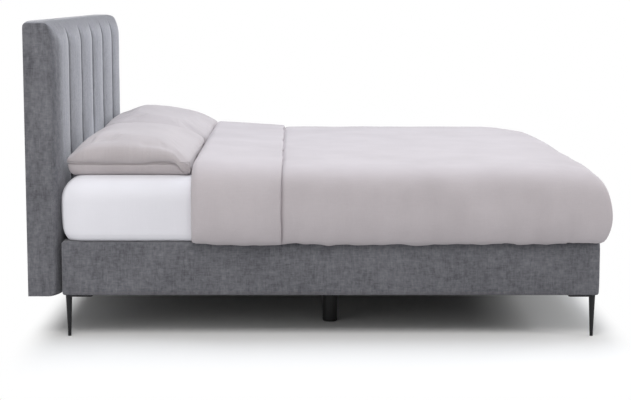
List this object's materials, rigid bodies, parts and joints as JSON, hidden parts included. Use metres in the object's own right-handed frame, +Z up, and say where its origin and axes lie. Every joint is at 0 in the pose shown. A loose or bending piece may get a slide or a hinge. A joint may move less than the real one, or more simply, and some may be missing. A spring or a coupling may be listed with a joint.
{
  "type": "box spring bed",
  "caption": "Upholstered box spring bed: two bases on steel legs, channelled headboard, mattress, pillows and a duvet turned down at the head.",
  "frame": {"origin": "on the floor, under the middle of the whole bed's box", "axes": "+X to the foot end, +Z up, -Y the right side of a person lying in the bed; the headboard's flat back faces -X"},
  "size_m": [2.1763, 1.8996, 1.175],
  "materials": {
    "bed_linen": "plain weave, mauve grey",
    "white_cotton": "plain weave, white",
    "black_plastic": "moulded, black",
    "zinc_steel": "zinc plated",
    "black_nonwoven": "spun-bonded, matt",
    "spruce": "planed",
    "upholstery_fabric": "woven chenille, grey",
    "hardboard": "pressed fibre",
    "spring_fabric": "spun-bonded, white",
    "non_slip_cloth": "non-slip cloth, dark grey",
    "black_steel": "powder coat, satin black",
    "foam": "open cell foam",
    "ticking": "knitted, off-white"
  },
  "bodies": {
    "root": {"duvet": "bed_linen", "fitted_sheet": "white_cotton", "foot_centre_support_leg": "black_plastic", "foot_coupling_plate": "zinc_steel", "head_centre_support_leg": "black_plastic", "head_coupling_plate": "zinc_steel", "headboard_back_cloth": "black_nonwoven", "headboard_bottom_rail": "spruce", "headboard_centre_post": "spruce", "headboard_channel_upholstery": "upholstery_fabric", "headboard_front_board": "hardboard", "headboard_left_post": "spruce", "headboard_right_post": "spruce", "headboard_top_rail": "spruce", "left_base_border": "upholstery_fabric", "left_base_dust_cloth": "black_nonwoven", "left_base_foot_leg_board": "spruce", "left_base_foot_rail": "spruce", "left_base_head_leg_board": "spruce", "left_base_head_rail": "spruce", "left_base_inner_rail": "spruce", "left_base_middle_leg_board": "spruce", "left_base_outer_rail": "spruce", "left_base_slat_1": "spruce", "left_base_slat_2": "spruce", "left_base_slat_3": "spruce", "left_base_slat_4": "spruce", "left_base_spring_unit": "spring_fabric", "left_base_top_cloth": "non_slip_cloth", "left_foot_steel_leg": "black_steel", "left_head_steel_leg": "black_steel", "left_headboard_strap": "zinc_steel", "left_middle_support_leg": "black_plastic", "left_pillow": "bed_linen", "mattress_bottom_foam": "foam", "mattress_cover": "ticking", "mattress_spring_core": "spring_fabric", "mattress_top_foam": "foam", "middle_centre_support_leg": "black_plastic", "middle_coupling_plate": "zinc_steel", "right_base_border": "upholstery_fabric", "right_base_dust_cloth": "black_nonwoven", "right_base_foot_leg_board": "spruce", "right_base_foot_rail": "spruce", "right_base_head_leg_board": "spruce", "right_base_head_rail": "spruce", "right_base_inner_rail": "spruce", "right_base_middle_leg_board": "spruce", "right_base_outer_rail": "spruce", "right_base_slat_1": "spruce", "right_base_slat_2": "spruce", "right_base_slat_3": "spruce", "right_base_slat_4": "spruce", "right_base_spring_unit": "spring_fabric", "right_base_top_cloth": "non_slip_cloth", "right_foot_steel_leg": "black_steel", "right_head_steel_leg": "black_steel", "right_headboard_strap": "zinc_steel", "right_middle_support_leg": "black_plastic", "right_pillow": "bed_linen"}
  },
  "joints": []
}
